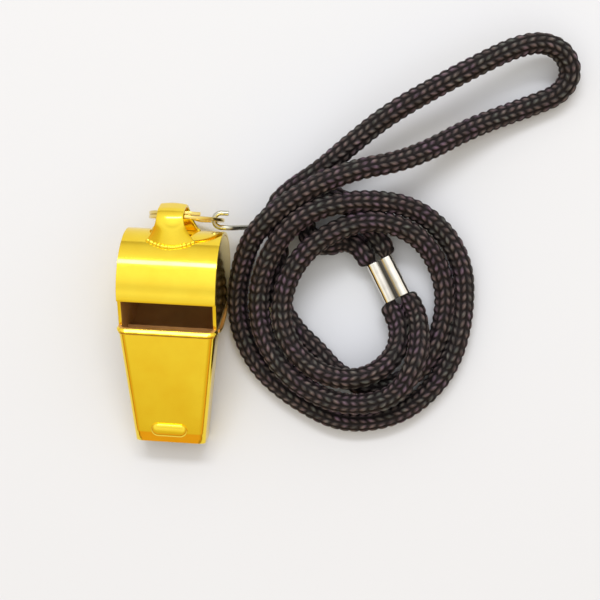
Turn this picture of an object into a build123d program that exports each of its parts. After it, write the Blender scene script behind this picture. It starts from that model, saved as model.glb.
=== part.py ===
from build123d import *
import os
from math import asin, atan2, cos, degrees, dist, hypot, radians, sin, sqrt, tan

# Pea whistle of soldered sheet brass with a split ring, a wire clip and a doubled neck lanyard.
# Millimetres. The whistle lies on its barrel and on the lower edge of its mouth, mouth towards -Y.
# The origin is on the table, under the middle of the whistle. X is the barrel's axis.

# Barrel and sheet
sheet = 0.7
barrel_diameter = 20.0
body_width = 19.3
lip_angle = 3.7
band_front_angle = 60.0

# Mouthpiece
top_rise = 0.6
mouth_height = 6.4
mouth_width = 14.2
mouth_reach = 31.4
mouth_rake = 1.8
window_edge = 6.1
cover_depth = 1.8
edge_radius = 1.5
bevel_length = 2.4
bevel_drop = 0.4
hem_length = 1.3
hem_height = 0.25
hem_edge_share = 0.6
ridge_length = 7.4
ridge_width = 3.0
ridge_height = 0.8
ridge_place = 28.3
ridge_edge_share = 0.85

# Windway ramp
ramp_sheet = 0.6
windway_slit = 1.3
ramp_band_gap = 0.4
ramp_tip_reach = 7.4
ramp_flat = 3.9
ramp_foot_reach = 24.0

# Pea
pea_diameter = 10.0
pea_gap = 0.3

# Lanyard lug and its solder
lug_height = 6.0
lug_strap = 0.8
lug_opening = 6.6
lug_corner = 3.2
lug_tip_width = 5.2
lug_foot_width = 9.8
lug_flare = 5.0
lug_plan_fillet = 1.6
solder_radius = 0.6
solder_length_share = 0.8

# Split ring of two leaves
ring_diameter = 15.0
ring_band = 1.2
ring_leaf = 0.7
leaf_gap = 0.06
ring_seat_gap = 0.25
ring_lift = 0.2
ring_lean = 14.0
leaf_end_angle = 60.0
leaf_step_angle = 250.0
leaf_step_turn = 40.0
leaf_total_turn = 540.0
leaf_step_sections = 5

# Wire clip
clip_wire = 1.0
clip_hook_gap = 0.25
clip_tail = 1.4
clip_shoulder = 2.0
clip_fall = 3.6
clip_bend = 1.6
clip_foot_gap = 0.2
clip_eye_run = 10.7
clip_eye_back = 2.9
clip_eye_gap = 0.45
clip_eye_turn = 300.0

# Cord and ferrule
cord_diameter = 4.2
ferrule_length = 8.4
ferrule_wall = 0.35
ferrule_spacing = 2.4
ferrule_waist_share = 0.8
crimp_diameter = 2.0
bore_gap = 0.05
splay_length = 2.5
splay_gap = 0.6
ferrule_place = (42.1, 11.2, 3.0)
ferrule_heading = -61.0

# Routes of the cord, chosen by hand: the two strands of the coil every coil_step degrees clockwise
coil_centre = (35.2, 4.2)
coil_step = 30.0
inner_first_angle = -40.0
inner_radii = (12.0, 13.0, 12.0, 11.5, 12.5, 13.5, 15.0, 16.0, 18.0, 20.5,
               19.8, 19.5, 19.4, 15.4, 11.5, 10.0, 11.5, 15.0, 23.0)
inner_heights = (4.6, 6.7, 6.8, 6.8, 6.8, 6.9, 7.6, 8.8, 8.0, 5.0,
                 2.3, 2.1, 2.1, 2.1, 2.1, 2.1, 2.1, 2.1, 3.6)
outer_first_angle = -30.0
outer_radii = (16.8, 19.5, 19.5, 18.5, 18.5, 19.0, 19.6, 20.5, 22.5, 25.2,
               25.4, 24.6, 24.8, 24.0, 23.5, 22.0, 22.5, 23.4, 24.5)
outer_heights = (7.3, 6.5, 5.0, 5.8, 5.8, 5.2, 8.0, 10.6, 9.4, 4.6,
                 2.3, 2.1, 2.1, 2.1, 2.1, 2.1, 2.1, 2.4, 6.8)
bight_points = [
    (18.0, 24.1, 4.0), (21.5, 28.1, 4.2), (27.5, 32.1, 6.0), (33.0, 37.1, 7.5), (40.5, 43.6, 8.5),
    (50.0, 49.6, 8.5), (58.5, 54.6, 8.0), (65.0, 58.1, 7.2), (70.2, 59.4, 6.0), (74.6, 57.6, 4.4),
    (76.3, 53.6, 3.0), (74.2, 49.8, 2.2), (69.5, 47.6, 2.1), (63.0, 44.9, 2.8), (56.0, 41.6, 4.6),
    (49.0, 37.1, 7.2), (42.5, 34.1, 9.6), (36.0, 32.6, 10.8), (29.5, 30.1, 10.8), (23.5, 26.6, 10.4),
    (18.0, 22.1, 9.6),
]
clip_loop_points = [(29.5, 16.6, 2.4), (24.9, 18.6, 3.8), (24.6, 25.1, 3.8), (28.5, 27.0, 2.7), (33.6, 24.8, 2.1)]
loop_left_heading = 155.0
loop_right_heading = 135.0
loop_lead = 3.0
arc_share = 0.45
sample_step = 1.5
overrun = 5.0

# Whistle's own frame: barrel axis at its origin, top of the mouthpiece level
barrel_radius = barrel_diameter / 2
chamber_radius = barrel_radius - sheet
half_width = body_width / 2
top_z = barrel_radius + top_rise
floor_z = top_z - mouth_height
rim_z = top_z - cover_depth
mouth_low_reach = mouth_reach + mouth_rake
bevel_z = top_z - bevel_drop
bevel_reach = mouth_reach + mouth_rake * bevel_drop / mouth_height
lug_end = barrel_radius + lug_height
lug_half = lug_opening / 2 + lug_strap
lug_foot = sqrt(barrel_radius**2 - lug_half**2)

# Rest pose: barrel and lower mouth edge both touch the table
pitch = degrees(asin(barrel_radius / hypot(mouth_low_reach, floor_z)) + atan2(floor_z, mouth_low_reach))
tilt_cos = cos(radians(pitch))
tilt_sin = sin(radians(pitch))
front_reach = max(bevel_reach * tilt_cos + bevel_z * tilt_sin, mouth_low_reach * tilt_cos + floor_z * tilt_sin)
rear_reach = (lug_end - lug_corner) * tilt_cos + (lug_half - lug_corner) * tilt_sin + lug_corner
barrel_y = (front_reach - rear_reach) / 2
rest = Pos(0, barrel_y, barrel_radius) * Rot(pitch, 0, 0)


def plan_half(reach, inset):
    """Half width of the body at a distance in front of the barrel axis."""
    taper = (body_width - mouth_width) / 2 / (mouth_reach - window_edge)
    return half_width - inset - taper * max(reach - window_edge, 0)


def plan_face(inset, near):
    """Plan of the body, inset from its outside, from behind the mouth to a reach near the barrel."""
    far = mouth_low_reach + overrun
    kink = max(near, window_edge)
    right = [(plan_half(near, inset), -near), (plan_half(kink, inset), -kink), (plan_half(far, inset), -far)]
    right = right if near < kink else right[1:]
    left = [(-x, y) for x, y in reversed(right)]
    return Polygon(*right, *left, align=None)


def upright(face):
    """Prism through the whole body's height over a plan."""
    return extrude(face, amount=barrel_diameter + overrun, both=True)


def sidewise(face):
    """Prism across the whole body's width from a side view."""
    return extrude(Plane.YZ * face, amount=body_width + overrun, both=True)


def make_side_plates():
    """Left and right side plates: a disc that closes the barrel, and the cheek of the mouthpiece."""
    cheek = Polygon(
        (0, 0),
        (0, chamber_radius),
        (-window_edge, rim_z),
        (-mouth_reach - mouth_rake * cover_depth / mouth_height, rim_z),
        (-mouth_low_reach, floor_z),
        (-sqrt(chamber_radius**2 - floor_z**2), floor_z),
        align=None,
    )
    side = sidewise(Circle(chamber_radius) + cheek)
    walls = upright(plan_face(0, -barrel_radius)) - upright(plan_face(sheet, -barrel_radius - overrun))
    both = side & walls
    return sorted(both.solids(), key=lambda solid: solid.center().X)


def make_band(side_plates):
    """Barrel wall bent round the side plates, open at the window."""
    lip = radians(lip_angle)
    front = radians(band_front_angle)
    window = Polygon(
        (0, 0),
        (-barrel_diameter * sin(lip), barrel_diameter * cos(lip)),
        (-barrel_diameter * sin(front), barrel_diameter * cos(front)),
        align=None,
    )
    ring = Circle(barrel_radius) - Circle(chamber_radius) - window
    band = extrude(Plane.YZ * ring, amount=half_width, both=True)
    for plate in side_plates:
        band -= plate
    return band


def make_floor():
    """Floor of the mouthpiece, between the cheeks, butted against the barrel."""
    outline = Polygon(
        (0, floor_z),
        (-mouth_low_reach, floor_z),
        (-mouth_low_reach + mouth_rake * sheet / mouth_height, floor_z + sheet),
        (0, floor_z + sheet),
        align=None,
    )
    floor = sidewise(outline) & upright(plan_face(sheet, 0))
    return floor - sidewise(Circle(barrel_radius))


def make_cover():
    """Top of the mouthpiece: a shallow pan with rounded sides, a hem at the window and a bite ridge."""
    up = (0, 0, 1)
    outer = Pos(0, 0, rim_z) * extrude(plan_face(0, window_edge), amount=cover_depth, dir=up)
    inner = Pos(0, 0, rim_z) * extrude(plan_face(sheet, window_edge), amount=cover_depth - sheet, dir=up)
    outer = fillet(long_top_edges(outer), edge_radius)
    inner = fillet(long_top_edges(inner), edge_radius - sheet)
    side = sidewise(Polygon(
        (-window_edge, rim_z),
        (-window_edge, top_z),
        (-mouth_reach + bevel_length, top_z),
        (-bevel_reach, bevel_z),
        (-mouth_low_reach, floor_z),
        (-window_edge, floor_z),
        align=None,
    ))
    pan = (outer - inner) & side
    hem_width = 2 * (plan_half(window_edge + hem_length, edge_radius))
    hem = Pos(0, -window_edge - hem_length / 2, top_z) * Box(hem_width, hem_length, 2 * hem_height)
    hem = fillet(hem.faces().sort_by(Axis.Z)[-1].edges(), hem_height * hem_edge_share)
    ridge_base = top_z - bevel_drop
    ridge = extrude(SlotOverall(ridge_length, ridge_width), amount=bevel_drop + ridge_height)
    ridge = fillet(ridge.faces().sort_by(Axis.Z)[-1].edges(), ridge_height * ridge_edge_share)
    return pan + hem + Pos(0, -ridge_place, ridge_base) * ridge


def long_top_edges(block):
    """Top edges of a block that run along the mouthpiece."""
    edges = block.faces().sort_by(Axis.Z)[-1].edges()
    return [edge for edge in edges if abs((edge % 0.5).Y) > abs((edge % 0.5).X)]


def make_ramp():
    """Bent strip under the cover that narrows the windway to a slit, its tip folded down to the barrel."""
    top = top_z - sheet - windway_slit
    low = top - ramp_sheet
    foot = floor_z + sheet
    knee = ramp_tip_reach + ramp_flat
    fold_z = foot + ramp_band_gap
    fold_reach = sqrt((barrel_radius + ramp_band_gap)**2 - fold_z**2)
    slope = (ramp_foot_reach - knee) / (top - foot)
    outline = Polygon(
        (-ramp_tip_reach, top),
        (-knee, top),
        (-ramp_foot_reach, foot),
        (-ramp_foot_reach + slope * ramp_sheet, foot),
        (-knee, low),
        (-ramp_tip_reach - ramp_sheet, low),
        (-fold_reach - ramp_sheet, fold_z),
        (-fold_reach, fold_z),
        align=None,
    )
    return sidewise(outline) & upright(plan_face(sheet, 0))


def make_lug():
    """Strap loop on the rear of the barrel, waisted towards its tip."""
    outer = Pos(lug_end / 2, 0) * RectangleRounded(lug_end, 2 * lug_half, lug_corner)
    inner_end = lug_end - lug_strap
    inner = Pos(inner_end / 2, 0) * RectangleRounded(inner_end, lug_opening, lug_corner - lug_strap)
    strap = sidewise(outer - inner) - sidewise(Circle(barrel_radius))
    foot = lug_foot_width / 2
    tip = lug_tip_width / 2
    plan = Polygon(
        (-foot, 0), (foot, 0), (foot, lug_foot), (tip, lug_foot + lug_flare), (tip, lug_end + overrun),
        (-tip, lug_end + overrun), (-tip, lug_foot + lug_flare), (-foot, lug_foot), align=None,
    )
    waist = [point for point in plan.vertices() if lug_foot < point.Y < lug_end]
    plan = fillet(waist, lug_plan_fillet)
    loops = strap & upright(plan)
    return max(loops.solids(), key=lambda solid: solid.center().Y)


def make_solder(lug):
    """Solder beads along the outside of the lug's two feet."""
    beads = Part()
    for side in (1, -1):
        bead = Pos(0, lug_foot, side * lug_half) * Rot(0, 90, 0) * Cylinder(
            solder_radius, lug_foot_width * solder_length_share)
        beads += bead - lug - sidewise(Circle(barrel_radius))
    return beads


def make_pea():
    """Cork ball lying at the bottom of the barrel."""
    orbit = chamber_radius - pea_diameter / 2 - pea_gap
    return Pos(0, barrel_y, barrel_radius - orbit) * Sphere(pea_diameter / 2)


# Split ring: where its wire passes the lug, its centre and its plane
ring_mean = (ring_diameter - ring_band) / 2
leaf_level = (ring_leaf + leaf_gap) / 2
ring_turn_room = hypot(ring_band / 2, ring_leaf + leaf_gap / 2)
ring_reach = lug_end - lug_strap - ring_turn_room - ring_seat_gap
pivot = rest * Pos(0, ring_reach, ring_lift)
ring_y = pivot.position.Y
ring_x = ring_mean * sin(radians(ring_lean))
ring_z = pivot.position.Z - ring_mean * cos(radians(ring_lean))
ring_plane = Plane(origin=(ring_x, ring_y, ring_z), x_dir=(1, 0, 0), z_dir=(0, -1, 0))


def leaf_section(angle, level):
    """Cross section of the ring's flat wire at an angle and a level along its axis."""
    outward = Vector(1, 0, 0).rotate(Axis.Z, angle)
    origin = outward * ring_mean + Vector(0, 0, level)
    return Plane(origin=origin, x_dir=outward, z_dir=outward.rotate(Axis.Z, 90)) * Rectangle(ring_band, ring_leaf)


def make_ring():
    """Flat wire wound one and a half turns, with one step from the rear leaf to the front leaf."""
    step_end = leaf_step_angle + leaf_step_turn
    rear_turn = leaf_step_angle - leaf_end_angle
    front_turn = leaf_total_turn - rear_turn - leaf_step_turn
    rear = revolve(leaf_section(leaf_end_angle, -leaf_level), Axis.Z, rear_turn)
    front = revolve(leaf_section(step_end, leaf_level), Axis.Z, front_turn)
    sections = []
    for index in range(leaf_step_sections):
        part_share = index / (leaf_step_sections - 1)
        angle = leaf_step_angle + leaf_step_turn * part_share
        sections.append(leaf_section(angle, leaf_level * (2 * part_share - 1)))
    return ring_plane * (rear + loft(sections) + front)


# Wire clip: hook round the ring's right side, shank down to the table and back to an upright eye for the cord
hook_radius = hypot(ring_band, ring_leaf) / 2 + clip_hook_gap + clip_wire / 2
hook_x = ring_x + ring_mean
hook_y = ring_y - leaf_level
shank_z = clip_wire / 2 + clip_foot_gap
shank_run = clip_fall + clip_eye_run
eye_radius = cord_diameter / 2 + clip_eye_gap + clip_wire / 2


def make_clip():
    """One bent wire: tail, hook, falling shank and eye."""
    tail = Vector(hook_x + clip_tail, hook_y + hook_radius, ring_z)
    north = Vector(hook_x, hook_y + hook_radius, ring_z)
    west = Vector(hook_x - hook_radius, hook_y, ring_z)
    south = Vector(hook_x, hook_y - hook_radius, ring_z)
    shoulder = south + Vector(clip_shoulder, 0, 0)
    way = Vector(shank_run, clip_eye_back, 0).normalized()
    table = Vector(shoulder.X, shoulder.Y, shank_z)
    foot = table + way * clip_fall
    eye_foot = table + way * shank_run
    eye_plane = Plane(origin=eye_foot + Vector(0, 0, eye_radius), x_dir=way, z_dir=way.rotate(Axis.Z, -90))
    shank = FilletPolyline(south, shoulder, foot, eye_foot, radius=[clip_bend, clip_bend])
    eye = eye_plane * CenterArc((0, 0), eye_radius, -90, clip_eye_turn)
    bends = [Line(tail, north), ThreePointArc(north, west, south)]
    path = Wire(bends[0].edges() + bends[1].edges() + shank.edges() + eye.edges())
    return sweep(Plane(origin=path @ 0, z_dir=path % 0) * Circle(clip_wire / 2), path=path)


# Ferrule: its axes, and where the four strands leave it
ferrule_centre = Vector(*ferrule_place)
along = Vector(1, 0, 0).rotate(Axis.Z, ferrule_heading)
across = along.rotate(Axis.Z, 90)
strand_offset = (cord_diameter + splay_gap) / 2
strand_reach = ferrule_length / 2 + splay_length


def bore_end(end, side):
    """Centre of a bore's mouth: end 1 faces the neck loop, side 1 is the right bore."""
    return ferrule_centre + along * (end * ferrule_length / 2) + across * (side * ferrule_spacing / 2)


def strand_start(end, side):
    """Where a strand has its full diameter again."""
    return ferrule_centre + along * (end * strand_reach) + across * (side * strand_offset)


def make_ferrule():
    """Two soft metal barrels pressed round the cord's strands."""
    bore = crimp_diameter / 2 + bore_gap
    barrel = bore + ferrule_wall
    outline = Rectangle(ferrule_spacing, 2 * barrel * ferrule_waist_share)
    for side in (1, -1):
        outline += Pos(side * ferrule_spacing / 2, 0) * Circle(barrel)
    for side in (1, -1):
        outline -= Pos(side * ferrule_spacing / 2, 0) * Circle(bore)
    plane = Plane(origin=ferrule_centre, x_dir=across, z_dir=along)
    return extrude(plane * outline, amount=ferrule_length / 2, both=True)


def arc_radii(points):
    """Radius of the arc at each inner point, as large as its two runs allow."""
    radii = []
    for before, here, after in zip(points, points[1:], points[2:]):
        run_in = Vector(*here) - Vector(*before)
        run_out = Vector(*after) - Vector(*here)
        turn = radians(run_in.get_angle(run_out))
        radii.append(arc_share * min(run_in.length, run_out.length) / tan(turn / 2))
    return radii


def cord_tube(name, points, radii):
    """Round tube on straight runs and tangent arcs, with its volume compared with section times length."""
    path = FilletPolyline(*points, radius=radii)
    disc = Plane(origin=path @ 0, z_dir=path % 0) * Circle(cord_diameter / 2)
    tube = sweep(disc, path=path)
    ratio = tube.volume / (disc.area * path.length)
    print(f"{name}: length {path.length:.1f}, volume over section times length {ratio:.4f}")
    print(f"{name}: radii {[round(radius, 1) for radius in radii]}")
    return tube


def crimp_taper(bore_point, bore_way, strand_point, strand_way):
    """Cord that swells from the ferrule's bore to its full diameter."""
    thin = Plane(origin=bore_point, z_dir=bore_way) * Circle(crimp_diameter / 2)
    full = Plane(origin=strand_point, z_dir=strand_way) * Circle(cord_diameter / 2)
    return loft([thin, full])


def coil_turns(first_angle, radii, heights):
    """Points of one strand of the coil, clockwise about the coil's centre."""
    turns = []
    for index, (radius, height) in enumerate(zip(radii, heights)):
        angle = radians(first_angle - coil_step * index)
        turns.append((coil_centre[0] + radius * cos(angle), coil_centre[1] + radius * sin(angle), height))
    return turns


def middle(first, second):
    """Point halfway between two points."""
    return tuple((a + b) / 2 for a, b in zip(first, second))


def make_neck_cord():
    """Inner coil strand, far bight and outer coil strand: one cord, cut across at two straight runs."""
    strands = {}
    for side, turns in ((-1, coil_turns(inner_first_angle, inner_radii, inner_heights)),
                        (1, coil_turns(outer_first_angle, outer_radii, outer_heights))):
        start = strand_start(1, side)
        strands[side] = [tuple(start), tuple(start + along * cord_diameter)] + turns
    route = strands[-1] + bight_points + strands[1][::-1]
    radii = arc_radii(route)
    inner_count = len(strands[-1])
    outer_count = len(route) - len(strands[1])
    first_cut = middle(route[inner_count - 1], route[inner_count])
    second_cut = middle(route[outer_count - 1], route[outer_count])
    pieces = [
        cord_tube("inner coil", route[:inner_count] + [first_cut], radii[:inner_count - 1]),
        cord_tube("far bight", [first_cut] + route[inner_count:outer_count] + [second_cut],
                  radii[inner_count - 1:outer_count - 1]),
        cord_tube("outer coil", [second_cut] + route[outer_count:], radii[outer_count - 1:]),
    ]
    pieces[0] += crimp_taper(bore_end(1, -1), along, strand_start(1, -1), along)
    pieces[2] += crimp_taper(bore_end(1, 1), along, strand_start(1, 1), along)
    print_least_gap("neck cord", FilletPolyline(*route, radius=radii))
    return pieces


def print_least_gap(name, path):
    """Least gap of a cord to itself, measured on points along its path."""
    count = round(path.length / sample_step)
    points = [tuple(path @ (index / count)) for index in range(count + 1)]
    skip = round(3 * cord_diameter / sample_step)
    least = min(dist(a, b) for i, a in enumerate(points) for b in points[i + skip:])
    print(f"{name}: length {path.length:.1f}, least gap to itself {least - cord_diameter:.2f}")


def make_clip_loop():
    """Short loop of the same cord through the clip's eye, with its ends crimped in the ferrule."""
    left = strand_start(-1, -1)
    right = strand_start(-1, 1)
    left_way = Vector(1, 0, 0).rotate(Axis.Z, loop_left_heading)
    right_way = Vector(1, 0, 0).rotate(Axis.Z, loop_right_heading)
    route = [tuple(left), tuple(left + left_way * loop_lead)] + clip_loop_points
    route += [tuple(right + right_way * loop_lead), tuple(right)]
    loop = cord_tube("clip loop", route, arc_radii(route))
    for side, strand, way in ((-1, left, left_way), (1, right, right_way)):
        loop += crimp_taper(bore_end(-1, side), -along, strand, way)
        rod = Plane(origin=bore_end(-1, side), z_dir=along) * Circle(crimp_diameter / 2)
        loop += extrude(rod, amount=ferrule_length)
    return loop


side_plates = make_side_plates()
lug = make_lug()
neck_cord = make_neck_cord()
nodes = {
    "side_plate_left": rest * side_plates[0],
    "side_plate_right": rest * side_plates[1],
    "barrel_band": rest * make_band(side_plates),
    "mouthpiece_floor": rest * make_floor(),
    "mouthpiece_cover": rest * make_cover(),
    "windway_ramp": rest * make_ramp(),
    "lanyard_lug": rest * lug,
    "lug_solder": rest * make_solder(lug),
    "pea": make_pea(),
    "split_ring": make_ring(),
    "wire_clip": make_clip(),
    "ferrule": make_ferrule(),
    "clip_loop": make_clip_loop(),
    "inner_coil": neck_cord[0],
    "far_bight": neck_cord[1],
    "outer_coil": neck_cord[2],
}

os.makedirs("parts", exist_ok=True)
for name, solid in nodes.items():
    export_step(solid, f"parts/{name}.step")

print(f"pitch {pitch:.3f}, barrel_y {barrel_y:.3f}, pivot y {ring_y:.3f} z {pivot.position.Z:.3f}")
print(f"ring centre x {ring_x:.3f} z {ring_z:.3f}, hook x {hook_x:.3f} y {hook_y:.3f}, radius {hook_radius:.3f}")
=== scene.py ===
import math
from contextlib import contextmanager

import bpy
from bpy.props import FloatProperty, FloatVectorProperty, IntProperty, PointerProperty
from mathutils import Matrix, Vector, noise


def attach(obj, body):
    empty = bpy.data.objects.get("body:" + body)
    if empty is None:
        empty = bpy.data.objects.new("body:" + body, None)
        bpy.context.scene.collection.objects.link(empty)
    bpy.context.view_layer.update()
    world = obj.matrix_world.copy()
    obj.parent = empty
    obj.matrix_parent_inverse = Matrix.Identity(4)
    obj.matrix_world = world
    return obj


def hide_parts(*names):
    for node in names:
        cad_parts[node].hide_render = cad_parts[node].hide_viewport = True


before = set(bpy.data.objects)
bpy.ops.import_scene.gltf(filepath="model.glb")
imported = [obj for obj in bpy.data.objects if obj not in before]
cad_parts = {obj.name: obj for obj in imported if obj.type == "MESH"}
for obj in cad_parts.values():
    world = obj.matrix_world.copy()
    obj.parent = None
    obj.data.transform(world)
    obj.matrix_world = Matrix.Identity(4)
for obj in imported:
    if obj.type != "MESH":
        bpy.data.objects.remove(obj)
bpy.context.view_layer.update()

bl_info = {
    "name": "Pea whistle with lanyard",
    "version": (1, 0, 0),
    "blender": (4, 5, 0),
    "location": "View3D > Sidebar > Whistle",
    "description": "Gold sheet metal pea whistle with a split ring, a wire clip and a knitted neck lanyard",
    "category": "Mesh",
}

MM = 0.001

# Routes of the cord in millimetres: two strands of a coil, clockwise about its centre, and the far bight
COIL_CENTRE = (35.2, 4.2)
COIL_STEP = 30.0
INNER_FIRST_ANGLE = -40.0
INNER_RADII = (12.4, 13.4, 13.9, 14.0, 14.4, 14.4, 15.0, 16.4, 19.4, 20.8,
               19.9, 18.7, 18.4, 16.8, 13.2, 10.6, 12.4, 16.4, 19.8)
INNER_HEIGHTS = (4.6, 6.7, 6.8, 6.8, 6.8, 6.9, 7.6, 8.8, 8.0, 5.0,
                 2.3, 2.1, 2.1, 2.1, 2.1, 2.1, 2.1, 2.1, 3.6)
OUTER_FIRST_ANGLE = -30.0
OUTER_RADII = (16.2, 19.4, 18.9, 18.2, 18.4, 19.2, 20.2, 21.9, 22.5, 25.1,
               25.1, 22.6, 22.8, 23.2, 23.1, 21.3, 22.8, 24.2, 25.0)
OUTER_HEIGHTS = (7.3, 6.6, 6.2, 6.2, 6.0, 5.9, 8.0, 10.6, 9.4, 4.6,
                 2.3, 2.1, 2.1, 2.1, 2.1, 2.1, 2.1, 2.4, 6.8)
BIGHT_POINTS = [
    (18.0, 24.1, 4.0), (21.5, 28.1, 4.2), (27.5, 32.1, 6.0), (33.0, 37.1, 7.5), (40.5, 43.6, 8.5),
    (50.0, 49.6, 8.5), (58.5, 54.6, 8.0), (65.0, 58.1, 7.2), (70.2, 59.4, 6.0), (74.6, 57.6, 4.4),
    (76.3, 53.6, 3.0), (74.2, 49.8, 2.2), (69.5, 47.6, 2.1), (63.0, 44.9, 2.8), (56.0, 41.6, 4.6),
    (49.0, 37.1, 7.2), (42.5, 34.1, 9.6), (36.0, 32.6, 10.8), (29.5, 30.1, 10.8), (23.5, 26.6, 10.4),
    (18.0, 22.1, 9.6),
]
CLIP_LOOP_POINTS = [
    (32.8, 18.6, 2.3), (29.1, 17.0, 2.5), (25.0, 19.1, 3.7), (24.3, 25.2, 3.8), (28.9, 28.4, 2.7), (34.3, 25.3, 2.1),
]

# Ferrule's place, and how the cord's strands enter and leave it, in millimetres
FERRULE_PLACE = (42.1, 11.2, 3.0)
FERRULE_HEADING = math.radians(-61.0)
LOOP_HEADING = math.radians(124.0)
LOOP_LEAD = 3.0
SPLAY_GAP = -0.1
SPLAY_LENGTH = 1.4
BORE_DEPTH = 3.0

# Press marks and flared ends of the ferrule, as shares of its half length
PRESS_PLACE = 0.42
PRESS_SPREAD = 0.16
BELL_START = 0.86

# Knit: points along a stitch and across a leg, form of a leg, and how unevenly the stitches lie
STITCH_STEPS = 8
LEG_SIDES = 4
LEG_SLANT = 0.27
LEG_ROUNDNESS = 0.7
FIBRE_LEAN = 0.9
KNIT_MEAN = 0.74
KNIT_CRIMPED = 0.35
KNIT_DRIFT = 0.10
KNIT_LOOSENESS = 0.025
KNIT_UNEVENNESS = 0.2

# Camera and softbox, in metres and degrees
CAMERA_PLACE = (0.045226, 0.010877, 0.257206)
CAMERA_TURN = (-0.842, 4.7025, 3.0174)
KEY_PLACE = (0.015, 0.600, 0.808)
KEY_AIM = (0.03, 0.01, 0.0)
KEY_SIZE = (0.68, 0.155)
KEY_TINT = (0.98, 0.99, 1.0)

# Tones of the studio's surround in front of the object and behind it, by the upward share of the direction
SURROUND_FRONT = (
    (0.0, (0.28, 0.16, 0.07)),
    (0.25, (0.86, 0.47, 0.13)),
    (0.38, (0.74, 0.54, 0.24)),
    (0.54, (0.78, 0.65, 0.26)),
    (0.60, (0.97, 0.89, 0.60)),
    (0.70, (1.00, 0.97, 0.90)),
    (0.80, (1.10, 1.08, 1.05)),
    (0.93, (0.90, 0.87, 0.78)),
    (1.0, (1.00, 0.98, 0.93)),
)
SURROUND_BACK = (
    (0.0, (0.55, 0.50, 0.40)),
    (0.20, (0.88, 0.84, 0.74)),
    (0.50, (1.04, 1.02, 0.99)),
    (0.75, (1.18, 1.18, 1.18)),
    (0.91, (1.33, 1.33, 1.35)),
    (1.0, (1.50, 1.50, 1.50)),
)

# Bends of the wire clip in millimetres
CLIP_HOOK_GAP = 0.25
CLIP_TAIL = 1.4
CLIP_SHOULDER = 2.0
CLIP_FALL = 3.6
CLIP_BEND = 1.6
CLIP_FOOT_GAP = 0.2
CLIP_EYE_RUN = 10.7
CLIP_EYE_BACK = 2.9
CLIP_EYE_GAP = 0.45
CLIP_LEAST_STEP = 0.02

# Turns of the split ring's wire in degrees: its first end, its length, and its step from one leaf to the other
RING_START = 60.0
RING_SWEEP = 540.0
RING_STEP = 250.0
RING_STEP_RUN = 40.0

# Small gaps in metres, and shares that shape the body
TABLE_SIZE = 14.0
TABLE_GAP = 0.02 * MM
PLATE_GAP = 0.03 * MM
FOOT_SINK = 0.35 * MM
CROWN_LIFT = 0.35
REAR_FACING = 0.933


def length(label, words, millimetres):
    """Length property, in metres."""
    return FloatProperty(name=label, description=words, default=millimetres * MM, unit="LENGTH", precision=5)


def angle(label, words, degrees):
    """Angle property."""
    return FloatProperty(name=label, description=words, default=math.radians(degrees), subtype="ANGLE")


def colour(label, words, red, green, blue):
    """Colour property, in linear values."""
    return FloatVectorProperty(
        name=label, description=words, default=(red, green, blue), size=3, min=0.0, max=1.0, subtype="COLOR")


class WhistleSizes(bpy.types.PropertyGroup):
    """Sizes of the sheet metal body"""

    barrel_radius: length("Barrel radius", "Outside radius of the barrel", 10.0)
    body_width: length("Body width", "Width over the side plates at the barrel", 19.3)
    sheet: length("Sheet", "Thickness of the sheet metal", 0.7)
    lip_angle: angle("Lip angle", "Angle of the lip in front of the barrel's top", 3.7)
    front_angle: angle("Front angle", "Angle of the band's front end", 60.0)
    top_rise: length("Top rise", "Height of the mouthpiece's top over the barrel", 0.6)
    mouth_height: length("Mouth height", "Height of the mouthpiece", 6.4)
    mouth_width: length("Mouth width", "Width of the mouthpiece at its end", 14.2)
    mouth_reach: length("Mouth reach", "Distance of the mouth's upper edge from the barrel's axis", 31.4)
    mouth_rake: length("Mouth rake", "How far the mouth's lower edge stands forward", 1.8)
    window_edge: length("Window edge", "Distance of the cover's rear end from the barrel's axis", 6.1)
    cover_depth: length("Cover depth", "Height of the cover's rounded sides", 1.8)
    edge_radius: length("Edge radius", "Rounding of the cover's long edges", 1.5)
    bevel_length: length("Bevel length", "Length of the bent mouth end of the cover", 2.4)
    bevel_drop: length("Bevel drop", "Fall of the bent mouth end", 0.4)
    hem_length: length("Hem length", "Length of the folded hem at the window", 1.3)
    hem_height: length("Hem height", "Height of the folded hem", 0.35)
    ridge_length: length("Ridge length", "Length of the bite ridge across the mouthpiece", 7.4)
    ridge_width: length("Ridge width", "Width of the bite ridge", 3.0)
    ridge_height: length("Ridge height", "Height of the bite ridge", 0.8)
    ridge_place: length("Ridge place", "Distance of the bite ridge from the barrel's axis", 28.3)
    rounding: length("Edge rounding", "Rounding of the cut sheet edges", 0.09)
    pitch: angle("Rest pitch", "Tilt of the whistle on the table", 24.597)
    barrel_y: length("Barrel place", "Place of the barrel's axis along the table", 8.843)
    pea_radius: length("Pea radius", "Radius of the cork pea", 5.0)
    pea_gap: length("Pea gap", "Gap between the pea and the barrel's wall", 0.3)


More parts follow.
